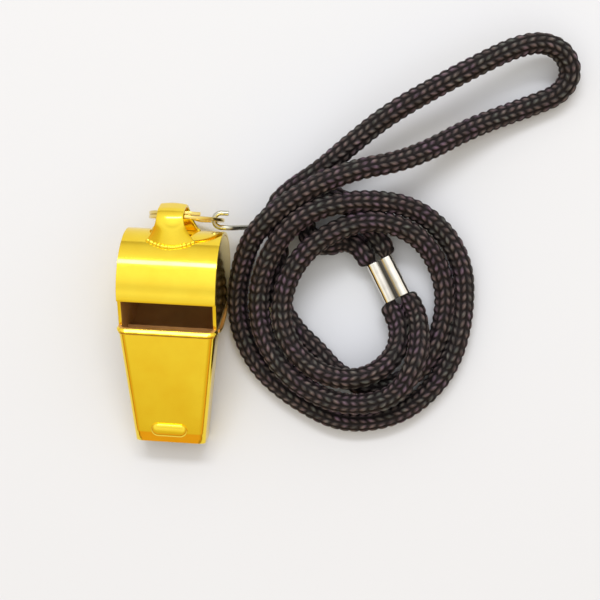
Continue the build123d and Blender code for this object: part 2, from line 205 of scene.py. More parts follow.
class LugSizes(bpy.types.PropertyGroup):
    """Sizes of the lanyard lug and the split ring"""

    height: length("Lug height", "Reach of the lug behind the barrel", 5.8)
    strap: length("Lug strap", "Thickness of the lug's strap", 0.8)
    opening: length("Lug opening", "Clear height in the lug", 6.6)
    corner: length("Lug corner", "Outer radius of the strap's bends", 3.2)
    tip_width: length("Lug tip width", "Width of the lug at its tip", 5.2)
    foot_width: length("Lug foot width", "Width of the lug at the barrel", 9.8)
    flare: length("Lug flare", "Length over which the lug widens", 6.6)
    crown: length("Lug crown", "Doming of the strap across its tip", 0.22)
    foot_crown: length("Lug foot crown", "Doming of the strap across its foot", 1.5)
    solder_radius: length("Solder radius", "Thickness of the solder beads", 0.6)
    ring_mean: length("Ring radius", "Middle radius of the split ring", 6.9)
    ring_band: length("Ring band", "Width of the ring's flat wire", 1.2)
    ring_leaf: length("Ring leaf", "Thickness of one leaf", 0.7)
    ring_gap: length("Leaf gap", "Gap between the leaves", 0.06)
    ring_x: length("Ring place X", "Centre of the ring across the whistle", 1.669)
    ring_y: length("Ring place Y", "Centre of the ring along the table", 21.494)
    ring_z: length("Ring place Z", "Height of the ring's centre", 9.316)


class LanyardSizes(bpy.types.PropertyGroup):
    """Sizes of the lanyard"""

    cord: length("Cord diameter", "Diameter of the knitted cord", 4.2)
    crimp: length("Crimped diameter", "Diameter of the cord in the ferrule's bores", 2.0)
    stitch: length("Stitch pitch", "Length of one stitch along the cord", 1.78)
    depth: length("Stitch depth", "Depth of the grooves between the stitches", 0.46)
    wales: IntProperty(name="Wales", description="Columns of stitch legs around the cord", default=10, min=4)
    wire: length("Clip wire", "Diameter of the clip's wire", 1.0)
    ferrule_length: length("Ferrule length", "Length of the pressed ferrule", 8.4)
    ferrule_spacing: length("Ferrule spacing", "Distance between the ferrule's bores", 2.8)
    ferrule_barrel: length("Ferrule barrel", "Outside radius of each barrel of the ferrule", 1.45)
    ferrule_wall: length("Ferrule wall", "Thickness of the ferrule's wall", 0.35)


class Finishes(bpy.types.PropertyGroup):
    """Colours of the finishes"""

    gold: colour("Gold", "Polished gold plate", 0.97, 0.73, 0.06)
    gold_deep: colour("Deep gold", "Redder tone of the gold plate", 0.94, 0.66, 0.045)
    # Painted shade: the dull inside finish stands in for the shade in the barrel, under the cover and on the cover's
    # rear edge.
    inside: colour("Inside", "Dull brass inside the barrel", 0.60, 0.31, 0.09)
    ring: colour("Ring", "Plated ring wire", 0.86, 0.66, 0.20)
    wire: colour("Wire", "Dull steel wire of the clip", 0.50, 0.49, 0.40)
    ferrule: colour("Ferrule", "Pressed bright metal", 0.90, 0.86, 0.78)
    # Yarn tones: painted highlight tone on the stitches' tops and painted shade tone in the grooves.
    yarn: colour("Yarn", "Yarn on the stitches' tops", 0.200, 0.152, 0.158)
    yarn_painted_shade: colour("Yarn shade", "Yarn in the grooves", 0.0055, 0.0025, 0.0030)
    cork: colour("Cork", "Ground cork of the pea", 0.22, 0.12, 0.055)
    floor: colour("Floor", "Pale table", 0.708, 0.720, 0.765)


class StageSettings(bpy.types.PropertyGroup):
    """Light and camera"""

    key_power: FloatProperty(name="Key power", description="Power of the key softbox", default=4.0, unit="POWER")
    sky: FloatProperty(name="Sky", description="Strength of the studio's soft surround", default=0.97)
    focal: FloatProperty(name="Focal length", description="Focal length of the camera", default=75.53)


def deselect():
    """Object mode, with nothing selected."""
    if bpy.context.mode != "OBJECT":
        bpy.ops.object.mode_set(mode="OBJECT")
    bpy.ops.object.select_all(action="DESELECT")


def take(piece):
    """Makes one piece the selected and active one."""
    deselect()
    piece.select_set(True)
    bpy.context.view_layer.objects.active = piece
    return piece


@contextmanager
def editing(action="SELECT"):
    """Edit mode by edges on the active piece, with all of it selected or nothing."""
    bpy.ops.object.mode_set(mode="EDIT")
    bpy.ops.mesh.select_mode(type="EDGE")
    bpy.ops.mesh.select_all(action=action)
    yield
    bpy.ops.object.mode_set(mode="OBJECT")


def remove(piece, parts, rule, kind):
    """Deletes the edges or the polygons of a piece that a rule picks."""
    take(piece)
    with editing("DESELECT"):
        bpy.ops.mesh.select_mode(type="EDGE" if parts == "edges" else "FACE")
    for part in getattr(piece.data, parts):
        part.select = rule(part)
    bpy.ops.object.mode_set(mode="EDIT")
    bpy.ops.mesh.delete(type=kind)
    bpy.ops.object.mode_set(mode="OBJECT")


def named(name):
    """Names the piece that was just added."""
    piece = bpy.context.object
    piece.name = name
    piece.data.name = name
    return piece


def arc(radius, start, end, steps, across=0.0, up=0.0):
    """Points of an arc about a centre, as pairs."""
    turns = [start + (end - start) * step / steps for step in range(steps + 1)]
    return [(across + radius * math.cos(turn), up + radius * math.sin(turn)) for turn in turns]


def chain(name, count, closed):
    """Chain of edges in a circle of one metre, from a primitive circle."""
    deselect()
    bpy.ops.mesh.primitive_circle_add(vertices=count, radius=1.0, location=(0, 0, 0))
    piece = named(name)
    if not closed:
        remove(piece, "edges", lambda edge: set(edge.vertices) == {0, count - 1}, "EDGE_FACE")
    return piece


def loft(name, rings, closed=False):
    """Skin over a list of sections, extruded from the first one; a closed section gets end caps."""
    piece = chain(name, len(rings[0]), closed)
    order = {(round(v.co.x, 4), round(v.co.y, 4)): v.index for v in piece.data.vertices}
    with editing():
        for _ in rings[1:]:
            bpy.ops.mesh.extrude_region_move(TRANSFORM_OT_translate={"value": (0, 0, 1)})
    for vertex in piece.data.vertices:
        index = order[(round(vertex.co.x, 4), round(vertex.co.y, 4))]
        vertex.co = rings[round(vertex.co.z)][index]
    with editing():
        if closed:
            bpy.ops.mesh.fill_holes(sides=0)
            bpy.ops.mesh.select_all(action="SELECT")
        bpy.ops.mesh.normals_make_consistent(inside=False)
    return piece


def turn_faces(piece, outward):
    """Turns an open skin over if its faces look against the outward rule."""
    if sum(p.normal.dot(outward(p.center)) * p.area for p in piece.data.polygons) < 0:
        take(piece)
        with editing():
            bpy.ops.mesh.flip_normals()


def smooth(piece, degrees):
    """Smooth shading that keeps the edges past an angle sharp."""
    take(piece)
    bpy.ops.object.shade_smooth_by_angle(angle=math.radians(degrees))


def apply_modifier(piece, label, kind, **settings):
    """Adds one modifier and applies it."""
    take(piece)
    modifier = piece.modifiers.new(label, kind)
    for key, value in settings.items():
        setattr(modifier, key, value)
    bpy.ops.object.modifier_apply(modifier=label)


def thicken(piece, thickness):
    """Gives an open skin its wall, inwards from its outer face."""
    apply_modifier(piece, "Wall", "SOLIDIFY", thickness=thickness, offset=-1.0, use_even_offset=True)


def soften(piece, rounding, smooth_angle=40.0, segments=3):
    """Rounds the cut edges and keeps the flats flat."""
    apply_modifier(piece, "Rounded edges", "BEVEL", width=rounding, segments=segments, limit_method="ANGLE",
                   angle_limit=math.radians(35.0), use_clamp_overlap=True)
    smooth(piece, smooth_angle)
    apply_modifier(piece, "Flat faces", "WEIGHTED_NORMAL", keep_sharp=True, weight=90)


def lay_down(piece):
    """Turns a piece from the whistle's own frame into its place on the table."""
    sizes = bpy.context.scene.whistle_sizes
    take(piece)
    piece.rotation_euler = (sizes.pitch, 0, 0)
    piece.location = (0, sizes.barrel_y, sizes.barrel_radius)
    bpy.ops.object.transform_apply(location=True, rotation=True, scale=True)


def hand_over(piece, material, body, slot, *nodes):
    """Gives a finished piece its material, its body and the CAD nodes that it stands for."""
    piece.data.materials.clear()
    piece.data.materials.append(material)
    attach(piece, body)
    if nodes:
        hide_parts(*nodes)
    deselect()


def join(pieces):
    """Joins pieces into the first one."""
    deselect()
    for piece in pieces:
        piece.select_set(True)
    bpy.context.view_layer.objects.active = pieces[0]
    bpy.ops.object.join()
    return pieces[0]


class Nodes:
    """Node tree that is built up step by step."""

    def __init__(self, tree):
        self.tree = tree

    def plug(self, socket, value):
        """Links a value that is a socket, and writes any other on the socket itself."""
        if isinstance(value, bpy.types.NodeSocket):
            self.tree.links.new(value, socket)
        else:
            socket.default_value = value

    def feed(self, node, inputs):
        """Fills a node's inputs by their names, in lower case and with an underscore for each space."""
        for key, value in inputs.items():
            self.plug(node.inputs[key.replace("_", " ").title().replace("Ior", "IOR")], value)

    def node(self, kind, settings=None, **inputs):
        """Node with its settings and its inputs."""
        made = self.tree.nodes.new(f"ShaderNode{kind}")
        for key, value in (settings or {}).items():
            setattr(made, key, value)
        self.feed(made, inputs)
        return made

    def grain(self, vector, scale, detail=3.0, roughness=0.55):
        """Noise."""
        made = self.node("TexNoise", vector=vector, scale=scale, detail=detail, roughness=roughness)
        return made.outputs["Fac"]

    def span(self, value, low, high, start=0.0, end=1.0):
        """Maps a value from one range to another."""
        made = self.node("MapRange", value=value, from_min=low, from_max=high, to_min=start, to_max=end)
        return made.outputs["Result"]

    def sum(self, operation, first, second):
        """Arithmetic on two values."""
        made = self.node("Math", {"operation": operation})
        self.plug(made.inputs[0], first)
        self.plug(made.inputs[1], second)
        return made.outputs["Value"]

    def blend(self, share, first, second):
        """Mix of two colours."""
        made = self.node("Mix", {"data_type": "RGBA"}, factor=share)
        for socket, value in zip((made.inputs[6], made.inputs[7]), (first, second)):
            self.plug(socket, value if isinstance(value, bpy.types.NodeSocket) else (*value, 1.0))
        return made.outputs[2]

    def ramp(self, value, stops):
        """Colour ramp over rising stops, each a position and a tone."""
        made = self.node("ValToRGB", fac=value)
        marks = made.color_ramp.elements
        (low, low_tone), *middle, (high, high_tone) = stops
        marks[0].position, marks[1].position = low, high
        marks[0].color, marks[1].color = (*low_tone, 1.0), (*high_tone, 1.0)
        for position, tone in middle:
            marks.new(position).color = (*tone, 1.0)
        return made.outputs["Color"]

    def bump(self, height, distance, strength, below=None):
        """Bump, over another bump if there is one."""
        made = self.node("Bump", height=height, distance=distance, strength=strength)
        if below is not None:
            self.plug(made.inputs["Normal"], below)
        return made.outputs["Normal"]


class Finish(Nodes):
    """Material on object coordinates."""

    def __init__(self, name):
        self.material = bpy.data.materials.new(name)
        self.material.use_nodes = True
        super().__init__(self.material.node_tree)
        self.shader = next(n for n in self.tree.nodes if n.type == "BSDF_PRINCIPLED")
        self.place = self.node("TexCoord").outputs["Object"]

    def stretched(self, scale, turn=(0, 0, 0)):
        """Object place, turned and stretched."""
        return self.node("Mapping", vector=self.place, rotation=turn, scale=scale).outputs["Vector"]

    def made(self, **inputs):
        """Fills the shader's own sockets and gives the material."""
        self.feed(self.shader, inputs)
        return self.material


def darker(tone, share):
    """Share of a tone."""
    return tuple(part * share for part in tone)


def plated(name, tone, deep, polish, scratch, metal=1.0):
    """Polished plate: two close tones, fine scratches both ways and a slight wobble of the sheet."""
    finish = Finish(name)
    cloud = finish.grain(finish.place, 140.0)
    along = finish.grain(finish.stretched((9000.0, 260.0, 700.0), (0.3, 0.1, 0.35)), 1.0, 2.0)
    across = finish.grain(finish.stretched((300.0, 8000.0, 900.0), (0.2, 0.4, -0.25)), 1.0, 2.0)
    marks = finish.sum("ADD", finish.span(along, 0.60, 0.80), finish.span(across, 0.62, 0.82))
    smear = finish.grain(finish.place, 320.0, 4.0)
    wobble = finish.bump(finish.grain(finish.place, 110.0, 1.0), 0.06 * MM, 0.35)
    return finish.made(
        metallic=metal,
        base_color=finish.blend(finish.span(cloud, 0.35, 0.7), tone, deep),
        roughness=finish.sum("ADD", finish.span(smear, 0.3, 0.75, polish, polish * 1.9),
                             finish.sum("MULTIPLY", marks, scratch)),
        normal=finish.bump(marks, 0.004 * MM, 0.35, wobble))


def knitted(name, tone, shade):
    """Knitted black yarn: painted highlight on the stitches' tops and painted shade in the grooves, fibres run along
    each leg.
    """
    finish = Finish(name)
    raised = finish.node("Attribute", {"attribute_name": "stitch_height"}).outputs["Fac"]
    leg = finish.node("Attribute", {"attribute_name": "fibre"}).outputs["Vector"]
    fibres = finish.grain(leg, 1.0, 3.0, 0.6)
    red, green, blue = tone
    tint = finish.ramp(finish.grain(finish.place, 260.0, 2.0), (
        (0.36, (red * 0.80, green * 1.10, blue * 0.95)),
        (0.5, (red * 1.08, green, blue * 0.90)),
        (0.64, (red * 1.05, green * 0.88, blue * 1.22))))
    # Painted light: the stitch height sets the base colour, with a painted highlight on the stitches' tops and painted
    # shade in the grooves.
    top = finish.sum("POWER", finish.span(raised, 0.2, 1.0), 2.4)
    uneven = finish.span(finish.grain(finish.place, 640.0, 1.0), 0.35, 0.65, 0.45, 1.15)
    lit = finish.sum("MULTIPLY", finish.sum("MULTIPLY", top, uneven), finish.span(fibres, 0.3, 0.7, 0.45, 1.0))
    return finish.made(
        sheen_weight=0.03, sheen_roughness=0.45, sheen_tint=(0.9, 0.88, 0.95, 1.0), specular_ior_level=0.22,
        base_color=finish.blend(lit, shade, tint),
        roughness=finish.span(fibres, 0.3, 0.7, 0.70, 0.45),
        normal=finish.bump(fibres, 0.12 * MM, 0.7))


def corky(name, tone):
    """Ground cork with dark pits."""
    finish = Finish(name)
    cells = finish.node("TexVoronoi", vector=finish.place, scale=900.0).outputs["Distance"]
    pits = finish.span(finish.grain(finish.place, 700.0, 4.0), 0.40, 0.56)
    dark = darker(tone, 0.3)
    mixed = finish.blend(finish.span(cells, 0.0, 0.8, 0.3, 1.0), dark, tone)
    return finish.made(
        base_color=finish.blend(pits, dark, mixed),
        roughness=finish.span(pits, 0.0, 1.0, 0.95, 0.75),
        normal=finish.bump(pits, 0.2 * MM, 0.8))


def table_top(name, tone):
    """Pale table with a barely visible unevenness."""
    finish = Finish(name)
    cloud = finish.grain(finish.place, 8.0, 3.0)
    return finish.made(
        specular_ior_level=0.2,
        base_color=finish.blend(cloud, darker(tone, 0.985), tone),
        roughness=finish.span(cloud, 0.0, 1.0, 0.65, 0.75))


def gold_plate():
    """The body's gold finish, made once."""
    tones = bpy.context.scene.whistle_finishes
    return bpy.data.materials.get("gold_plate") or plated("gold_plate", tones.gold, tones.gold_deep, 0.085, 0.05)


def dull_inside():
    """Dull, darker brass finish put on the faces inside the barrel and under the cover as painted shade, made once."""
    tone = bpy.context.scene.whistle_finishes.inside
    made = bpy.data.materials.get("dull_inside")
    return made or plated("dull_inside", tone, darker(tone, 0.8), 0.38, 0.10, 0.25)


def paint_shade_faces(piece, inward, least=0.7):
    """Gives the dull finish, as painted shade, to the faces whose normals lie near the inward direction at their
    place.
    """
    piece.data.materials.append(dull_inside())
    for polygon in piece.data.polygons:
        if polygon.normal.dot(inward(polygon.center)) > least:
            polygon.material_index = 1


def pressed_metal(tone, centre):
    """Bright pressed metal with painted reflection streaks along its barrels and painted shade in the groove between
    them.
    """
    finish = Finish("pressed_metal")
    across = finish.node("VectorMath", {"operation": "DOT_PRODUCT"})
    finish.plug(across.inputs[0], finish.place)
    finish.plug(across.inputs[1], FERRULE_ACROSS)
    offset = finish.sum("SUBTRACT", across.outputs["Value"], centre.dot(FERRULE_ACROSS))
    # Painted shade: the base colour falls to 0.22 of the tone in the groove between the barrels.
    clear_of_groove_shade = finish.span(finish.sum("ABSOLUTE", offset, 0.0), 0.15 * MM, 0.75 * MM)
    turned = finish.node("VectorRotate", {"rotation_type": "Z_AXIS"}, vector=finish.place, angle=-FERRULE_HEADING)
    drawn = finish.node("Mapping", vector=turned.outputs["Vector"], scale=(45.0, 1000.0, 700.0))
    streak = finish.grain(drawn.outputs["Vector"], 1.0, 1.0)
    # Painted reflection: darker streaks along the barrels stand in for reflected stripes; the same streaks also set
    # the roughness.
    reflection_streaks = finish.blend(finish.span(streak, 0.40, 0.62), tone, darker(tone, 0.62))
    return finish.made(
        metallic=1.0,
        base_color=finish.blend(clear_of_groove_shade, darker(tone, 0.22), reflection_streaks),
        roughness=finish.span(streak, 0.3, 0.7, 0.09, 0.20))


class WHISTLE_OT_stage(bpy.types.Operator):
    """Camera, soft light and the pale table"""

    bl_idname = "whistle.stage"
    bl_label = "Stage"

    def execute(self, context):
        scene = context.scene
        settings = scene.whistle_stage
        camera = bpy.data.cameras.new("camera")
        camera.sensor_width = 36.0
        camera.lens = settings.focal
        camera.clip_start = 0.005
        scene.camera = self.placed("camera", camera, CAMERA_PLACE, [math.radians(turn) for turn in CAMERA_TURN])

        key = bpy.data.lights.new("key", "AREA")
        key.shape = "RECTANGLE"
        key.size, key.size_y = KEY_SIZE
        key.energy = settings.key_power
        key.color = KEY_TINT
        look = Vector(KEY_AIM) - Vector(KEY_PLACE)
        self.placed("key", key, KEY_PLACE, look.to_track_quat("-Z", "Y").to_euler())

        deselect()
        bpy.ops.mesh.primitive_grid_add(
            x_subdivisions=8, y_subdivisions=8, size=TABLE_SIZE, location=(0, 0, -TABLE_GAP))
        table = named("table")
        table.data.materials.append(table_top("table", scene.whistle_finishes.floor))

        self.surround(scene, settings.sky)
        scene.view_settings.view_transform = "Standard"
        return {"FINISHED"}

    def placed(self, name, data, place, turn):
        """Camera or lamp in its place."""
        holder = bpy.data.objects.new(name, data)
        bpy.context.scene.collection.objects.link(holder)
        holder.location = place
        holder.rotation_euler = turn
        return holder

    def surround(self, scene, strength):
        """Soft studio surround: white overhead, darker and warmer towards the horizon."""
        scene.world = bpy.data.worlds.new("studio")
        scene.world.use_nodes = True
        nodes = Nodes(scene.world.node_tree)
        nodes.tree.nodes.clear()
        way = nodes.node("SeparateXYZ", vector=nodes.node("TexCoord").outputs["Generated"]).outputs
        front, back = (nodes.ramp(way["Z"], tones) for tones in (SURROUND_FRONT, SURROUND_BACK))
        tone = nodes.blend(nodes.span(way["Y"], -0.4, 0.4), front, back)
        lit = nodes.node("Background", color=tone, strength=strength)
        nodes.node("OutputWorld", surface=lit.outputs["Background"])


def heading(turn):
    """Level direction at an angle."""
    return Vector((math.cos(turn), math.sin(turn), 0.0))


FERRULE_ALONG = heading(FERRULE_HEADING)
FERRULE_ACROSS = heading(FERRULE_HEADING + math.pi / 2)


def bore_point(end, side, depth):
    """Point in a bore of the ferrule, in millimetres; end 1 faces the neck loop, side 1 is the right bore."""
    sizes = bpy.context.scene.lanyard_sizes
    reach = sizes.ferrule_length / MM / 2 - depth
    return (Vector(FERRULE_PLACE) + FERRULE_ALONG * (end * reach)
            + FERRULE_ACROSS * (side * sizes.ferrule_spacing / MM / 2))


def strand_point(end, side):
    """Where a strand has its full diameter, in millimetres."""
    sizes = bpy.context.scene.lanyard_sizes
    offset = (sizes.cord / MM + SPLAY_GAP) / 2
    reach = sizes.ferrule_length / MM / 2 + SPLAY_LENGTH
    return Vector(FERRULE_PLACE) + FERRULE_ALONG * (end * reach) + FERRULE_ACROSS * (side * offset)


def coil_points(first_angle, radii, heights):
    """Points of one strand of the coil, clockwise about the coil's centre."""
    points = []
    for index, (radius, height) in enumerate(zip(radii, heights)):
        way = heading(math.radians(first_angle - COIL_STEP * index)) * radius
        points.append((COIL_CENTRE[0] + way.x, COIL_CENTRE[1] + way.y, height))
    return points


def neck_route():
    """Control points of the neck loop, from the ferrule's left bore round to its right bore."""
    lead = bpy.context.scene.lanyard_sizes.cord / MM
    ends = {}
    for side, turns in ((-1, coil_points(INNER_FIRST_ANGLE, INNER_RADII, INNER_HEIGHTS)),
                        (1, coil_points(OUTER_FIRST_ANGLE, OUTER_RADII, OUTER_HEIGHTS))):
        start = strand_point(1, side)
        ends[side] = [bore_point(1, side, BORE_DEPTH), bore_point(1, side, 0), start,
                      start + FERRULE_ALONG * lead] + turns
    return ends[-1] + BIGHT_POINTS + ends[1][::-1]


def loop_route():
    """Control points of the short loop through the clip's eye."""
    left = strand_point(-1, -1)
    right = strand_point(-1, 1)
    return [bore_point(-1, -1, BORE_DEPTH), bore_point(-1, -1, 0), left,
            left + heading(LOOP_HEADING) * LOOP_LEAD, *CLIP_LOOP_POINTS,
            right + heading(LOOP_HEADING) * LOOP_LEAD, right,
            bore_point(-1, 1, 0), bore_point(-1, 1, BORE_DEPTH)]


def smooth_line(name, route):
    """Points read from the route's spline."""
    curve = bpy.data.curves.new(name, "CURVE")
    curve.dimensions = "3D"
    spline = curve.splines.new("NURBS")
    spline.points.add(len(route) - 1)
    for point, place in zip(spline.points, route):
        point.co = (*(part * MM for part in place), 1.0)
    spline.order_u = 3
    spline.use_endpoint_u = True
    spline.resolution_u = 24
    curve.resolution_u = 24
    carrier = bpy.data.objects.new(name, curve)
    mesh = bpy.data.meshes.new_from_object(carrier)
    line = [vertex.co.copy() for vertex in mesh.vertices]
    bpy.data.meshes.remove(mesh)
    bpy.data.objects.remove(carrier)
    bpy.data.curves.remove(curve)
    return line


def even_line(line, step):
    """The same line with points a step apart."""
    travelled = [0.0]
    for before, here in zip(line, line[1:]):
        travelled.append(travelled[-1] + (here - before).length)
    count = round(travelled[-1] / step)
    points = []
    index = 0
    for number in range(count + 1):
        goal = travelled[-1] * number / count
        while index < len(line) - 2 and travelled[index + 1] < goal:
            index += 1
        gap = max(travelled[index + 1] - travelled[index], 1e-12)
        points.append(line[index].lerp(line[index + 1], (goal - travelled[index]) / gap))
    return points


def eased(value):
    """Smooth step from 0 to 1."""
    value = min(max(value, 0.0), 1.0)
    return value * value * (3 - 2 * value)


def stitch_shape(row, turn, wales):
    """Height of the knit, from 0 in a groove to 1 on a leg's top, at a row of stitches and a turn round the cord."""
    column = turn * wales
    leg = math.floor(column)
    across = 2 * (column - leg) - 1
    slant = LEG_SLANT if leg % 2 else -LEG_SLANT
    along = 2 * ((row + slant * across) % 1.0) - 1
    return max(1 - across * across, 0.0) ** LEG_ROUNDNESS * max(1 - along * along, 0.0) ** LEG_ROUNDNESS


def knitted_tube(name, line, sizes):
    """Knitted cord along a line, drawn in towards its two ends where the ferrule crimps it."""
    sides = sizes.wales * LEG_SIDES
    points = even_line(line, sizes.stitch / STITCH_STEPS)
    spacing = (points[1] - points[0]).length
    last = len(points) - 1
    vertices = []
    heights = []
    fibres = []
    normal = None
    for index, point in enumerate(points):
        way = (points[min(index + 1, last)] - points[max(index - 1, 0)]).normalized()
        if normal is None:
            normal = way.orthogonal().normalized()
        normal = (normal - way * normal.dot(way)).normalized()
        side = way.cross(normal)
        row = index / STITCH_STEPS
        end = min(index, last - index) * spacing / MM
        swell = eased((end - BORE_DEPTH) / SPLAY_LENGTH)
        radius = (sizes.crimp + (sizes.cord - sizes.crimp) * swell) / 2
        drift = KNIT_DRIFT * noise.noise((row * 0.045, 3.7, 0.0))
        loose = 1.0 + KNIT_LOOSENESS * noise.noise((row * 0.21, 0.0, 5.1))
        for corner in range(sides):
            turn = corner / sides
            shift = KNIT_UNEVENNESS * noise.noise((row * 0.3, turn * 3, 1.0))
            knit = stitch_shape(row + shift, turn, sizes.wales)
            depth = sizes.depth * (KNIT_CRIMPED + (1 - KNIT_CRIMPED) * swell)
            reach = radius * loose + depth * (knit - KNIT_MEAN)
            about = 2 * math.pi * (turn + drift)
            place = point + (normal * math.cos(about) + side * math.sin(about)) * reach
            place.z = max(place.z, TABLE_GAP)
            vertices.append(place)
            heights.append(knit)
            leg = math.floor(turn * sizes.wales)
            lean = FIBRE_LEAN if leg % 2 else -FIBRE_LEAN
            fibres.append((row * 1.3, turn * sizes.wales * 5 + row * lean * 4, leg * 7.0))
    faces = []
    for index in range(last):
        for corner in range(sides):
            beside = (corner + 1) % sides
            low = index * sides
            high = low + sides
            faces.append((low + corner, low + beside, high + beside, high + corner))
    faces.append(tuple(reversed(range(sides))))
    faces.append(tuple(last * sides + corner for corner in range(sides)))
    mesh = bpy.data.meshes.new(name)
    mesh.from_pydata(vertices, [], faces)
    mesh.attributes.new("stitch_height", "FLOAT", "POINT").data.foreach_set("value", heights)
    flat = [part for fibre in fibres for part in fibre]
    mesh.attributes.new("fibre", "FLOAT_VECTOR", "POINT").data.foreach_set("vector", flat)
    mesh.polygons.foreach_set("use_smooth", [True] * len(mesh.polygons))
    piece = bpy.data.objects.new(name, mesh)
    bpy.context.scene.collection.objects.link(piece)
    return piece, points


class WHISTLE_OT_cords(bpy.types.Operator):
    """Knitted neck loop and the short loop through the clip's eye"""

    bl_idname = "whistle.cords"
    bl_label = "Cords"

    def execute(self, context):
        sizes = context.scene.lanyard_sizes
        tones = context.scene.whistle_finishes
        yarn = knitted("black_knit", tones.yarn, tones.yarn_painted_shade)
        neck, neck_line = knitted_tube("neck_cord", smooth_line("neck_route", neck_route()), sizes)
        hand_over(neck, yarn, "lanyard", "cord", "inner_coil", "far_bight", "outer_coil")
        loop, loop_line = knitted_tube("clip_cord", smooth_line("loop_route", loop_route()), sizes)
        hand_over(loop, yarn, "lanyard", "cord", "clip_loop")
        return {"FINISHED"}


class WHISTLE_OT_ferrule(bpy.types.Operator):
    """Pressed double ferrule round the cord's strands"""

    bl_idname = "whistle.ferrule"
    bl_label = "Ferrule"

    def outline(self, sizes, scale_across, scale_up):
        """Outline of two joined barrels, anticlockwise, as pairs across and up."""
        points = []
        waist = math.radians(20.0)
        for side, turn in ((1, 0.0), (-1, math.pi)):
            barrel = arc(sizes.ferrule_barrel, turn - math.pi + waist, turn + math.pi - waist, 16,
                         side * sizes.ferrule_spacing / 2)
            points += [(across * scale_across, up * scale_up) for across, up in barrel]
        return points

    def execute(self, context):
        sizes = context.scene.lanyard_sizes
        centre = Vector(FERRULE_PLACE) * MM
        half = sizes.ferrule_length / 2
        rings = []
        count = 28
        for number in range(count + 1):
            share = 2 * number / count - 1
            press = math.exp(-((abs(share) - PRESS_PLACE) / PRESS_SPREAD) ** 2)
            bell = max(abs(share) - BELL_START, 0.0) / (1 - BELL_START)
            outline = self.outline(sizes, 1.0 + 0.012 * bell - 0.012 * press, 1.0 - 0.05 * press + 0.01 * bell)
            rings.append([centre + FERRULE_ALONG * (half * share) + FERRULE_ACROSS * a + Vector((0, 0, b))
                          for a, b in outline])
        piece = loft("pressed_ferrule", rings, closed=True)
        remove(piece, "polygons", lambda polygon: len(polygon.vertices) > 4, "ONLY_FACE")
        thicken(piece, sizes.ferrule_wall)
        soften(piece, 0.08 * MM, 50.0)
        tone = context.scene.whistle_finishes.ferrule
        hand_over(piece, pressed_metal(tone, centre), "lanyard", "ferrule_metal", "ferrule")
        return {"FINISHED"}


class WHISTLE_OT_clip(bpy.types.Operator):
    """Bent wire clip: tail, hook, falling shank and upright eye"""

    bl_idname = "whistle.clip"
    bl_label = "Wire clip"

    def wire_arc(self, centre, radius, start, end, axis_a, axis_b):
        """Points of an arc between two angles in degrees."""
        steps = max(int(abs(end - start) / 8), 2)
        return [centre + axis_a * a + axis_b * b
                for a, b in arc(radius, math.radians(start), math.radians(end), steps)]

    def bend(self, corner, way_in, way_out, radius):
        """Points of the rounded bend at a corner between two directions."""
        turn = way_in.angle(way_out)
        inward = (way_out - way_in * math.cos(turn)) / math.sin(turn)
        start = corner - way_in * (radius * math.tan(turn / 2))
        points = []
        for step in range(9):
            part = turn * step / 8
            points.append(start + inward * (radius * (1 - math.cos(part))) + way_in * (radius * math.sin(part)))
        return points

    def execute(self, context):
        sizes = context.scene.lanyard_sizes
        lug = context.scene.lug_sizes
        wire = sizes.wire / MM
        across, along, up = Vector((1, 0, 0)), Vector((0, 1, 0)), Vector((0, 0, 1))
        level = (lug.ring_leaf + lug.ring_gap) / MM / 2
        hook_radius = math.hypot(lug.ring_band, lug.ring_leaf) / MM / 2 + CLIP_HOOK_GAP + wire / 2
        hook = Vector(((lug.ring_x + lug.ring_mean) / MM, lug.ring_y / MM - level, lug.ring_z / MM))
        shoulder = hook + across * CLIP_SHOULDER - along * hook_radius
        way = Vector((CLIP_FALL + CLIP_EYE_RUN, CLIP_EYE_BACK, 0)).normalized()
        table = Vector((shoulder.x, shoulder.y, wire / 2 + CLIP_FOOT_GAP))
        foot = table + way * CLIP_FALL
        eye_radius = sizes.cord / MM / 2 + CLIP_EYE_GAP + wire / 2
        eye = table + way * (CLIP_FALL + CLIP_EYE_RUN) + up * eye_radius
        fall = (foot - shoulder).normalized()
        line = [hook + across * CLIP_TAIL + along * hook_radius, hook + across * CLIP_TAIL / 2 + along * hook_radius]
        line += self.wire_arc(hook, hook_radius, 90.0, 270.0, across, along)
        line += self.bend(shoulder, across, fall, CLIP_BEND)
        line += self.bend(foot, fall, way, CLIP_BEND)
        line += self.wire_arc(eye, eye_radius, -90.0, 210.0, way, up)
        curve = bpy.data.curves.new("bent_clip", "CURVE")
        curve.dimensions = "3D"
        spline = curve.splines.new("POLY")
        kept = [line[0]] + [b for a, b in zip(line, line[1:]) if (b - a).length > CLIP_LEAST_STEP]
        spline.points.add(len(kept) - 1)
        for point, place in zip(spline.points, kept):
            point.co = (*(place * MM), 1.0)
        spline.use_smooth = True
        curve.bevel_depth = sizes.wire / 2
        curve.bevel_resolution = 5
        curve.use_fill_caps = True
        piece = bpy.data.objects.new("bent_clip", curve)
        context.scene.collection.objects.link(piece)
        take(piece)
        bpy.ops.object.convert(target="MESH")
        piece = context.object
        soften(piece, 0.12 * MM, 50.0)
        tone = context.scene.whistle_finishes.wire
        steel = plated("dull_wire", tone, darker(tone, 0.75), 0.20, 0.10)
        hand_over(piece, steel, "lanyard", "clip_steel", "wire_clip")
        return {"FINISHED"}


